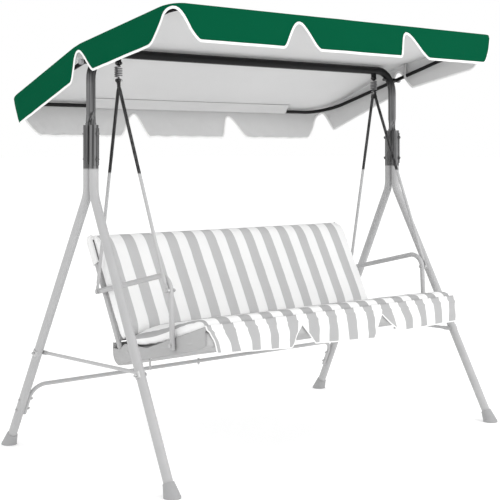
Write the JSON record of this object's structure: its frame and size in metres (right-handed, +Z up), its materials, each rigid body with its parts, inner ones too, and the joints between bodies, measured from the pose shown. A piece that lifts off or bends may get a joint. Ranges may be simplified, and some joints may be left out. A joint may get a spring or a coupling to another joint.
{
  "type": "canopy swing bench",
  "caption": "Garden swing bench: a tubular A-frame with a spring-hung padded seat and back, tubular armrests and a tilting fabric canopy with a scalloped edge.",
  "frame": {"origin": "on the ground, at the centre of the bench's overall box", "axes": "+Z up, -Y to the front, where the sitter faces, +X to the right as seen from the front"},
  "size_m": [1.838, 1.1327, 1.687],
  "materials": {
    "frame_grey": "satin powder coat",
    "frame_black": "satin powder coat",
    "hanger_tube": "satin powder coat",
    "fastener": "zinc plated",
    "spring_steel": "zinc plated",
    "foot_plastic": "moulded",
    "knob_plastic": "moulded",
    "sling_cloth": "plain weave",
    "striped_cloth": "grey and white stripes",
    "canopy_cloth": "coated polyester with white lining",
    "strap_cloth": "webbing"
  },
  "bodies": {
    "stand": {"front_leg_left": "frame_grey", "front_leg_right": "frame_grey", "rear_leg_left": "frame_grey", "rear_leg_right": "frame_grey", "foot_caps": "foot_plastic", "top_tube": "frame_black", "post_plates": "frame_black", "post_bolts": "fastener", "stand_nuts": "fastener", "side_bar_left": "frame_grey", "side_bar_right": "frame_grey", "side_bar_saddles": "fastener", "side_bar_bolts": "fastener", "brace_nuts": "fastener", "base_bar_left": "frame_grey", "base_bar_right": "frame_grey", "base_bar_bolts": "fastener", "hanger_bracket_left": "frame_black", "hanger_bracket_right": "frame_black", "swing_pins": "fastener", "tilt_sleeves": "frame_black", "tilt_bolts": "fastener"},
    "springs": {"spring_left": "spring_steel", "spring_right": "spring_steel"},
    "seat": {"hanger_front_left": "hanger_tube", "hanger_front_right": "hanger_tube", "hanger_rear_left": "hanger_tube", "hanger_rear_right": "hanger_tube", "apex_bolts": "fastener", "seat_nuts": "fastener", "armrest_left": "frame_grey", "armrest_right": "frame_grey", "armrest_plugs": "foot_plastic", "armrest_bolts": "fastener", "hanger_spacers": "fastener", "frame_bolts": "fastener", "seat_side_left": "frame_grey", "seat_side_right": "frame_grey", "back_side_left": "frame_grey", "back_side_right": "frame_grey", "seat_front_rail": "frame_grey", "back_top_rail": "frame_grey", "back_low_rail": "frame_grey", "seat_sling": "sling_cloth", "back_sling": "sling_cloth", "seat_cushion": "striped_cloth", "back_cushion": "striped_cloth", "seat_skirt": "striped_cloth", "seat_cover": "sling_cloth", "seat_ties": "sling_cloth"},
    "canopy": {"canopy_arm_left": "frame_black", "canopy_arm_right": "frame_black", "canopy_front_bar": "frame_black", "canopy_rear_bar": "frame_black", "canopy_ties": "strap_cloth", "canopy_cover": "canopy_cloth"},
    "knob_left": {"tilt_knob_left": "knob_plastic"},
    "knob_right": {"tilt_knob_right": "knob_plastic"}
  },
  "joints": [
    {"name": "swing", "type": "hinge", "parent": "stand", "child": "springs", "pos_m": [0, 0.019, 1.516], "axis": [1, 0, 0], "range_deg": [-20, 20]},
    {"name": "spring_stretch", "type": "slide", "parent": "springs", "child": "seat", "axis": [0, 0, 1], "range_m": [-0.012, 0.002], "stiffness_N_per_m": 120000, "springref_m": 0.002, "deforming": ["spring_left", "spring_right"]},
    {"name": "canopy_tilt", "type": "hinge", "parent": "stand", "child": "canopy", "pos_m": [0, 0.019, 1.5134], "axis": [1, 0, 0], "range_deg": [-10, 15]},
    {"name": "knob_left_turn", "type": "hinge", "parent": "stand", "child": "knob_left", "pos_m": [-0.8946, 0.019, 1.5134], "axis": [-1, 0, 0], "range_deg": [-180, 180]},
    {"name": "knob_right_turn", "type": "hinge", "parent": "stand", "child": "knob_right", "pos_m": [0.8946, 0.019, 1.5134], "axis": [1, 0, 0], "range_deg": [-180, 180]}
  ]
}
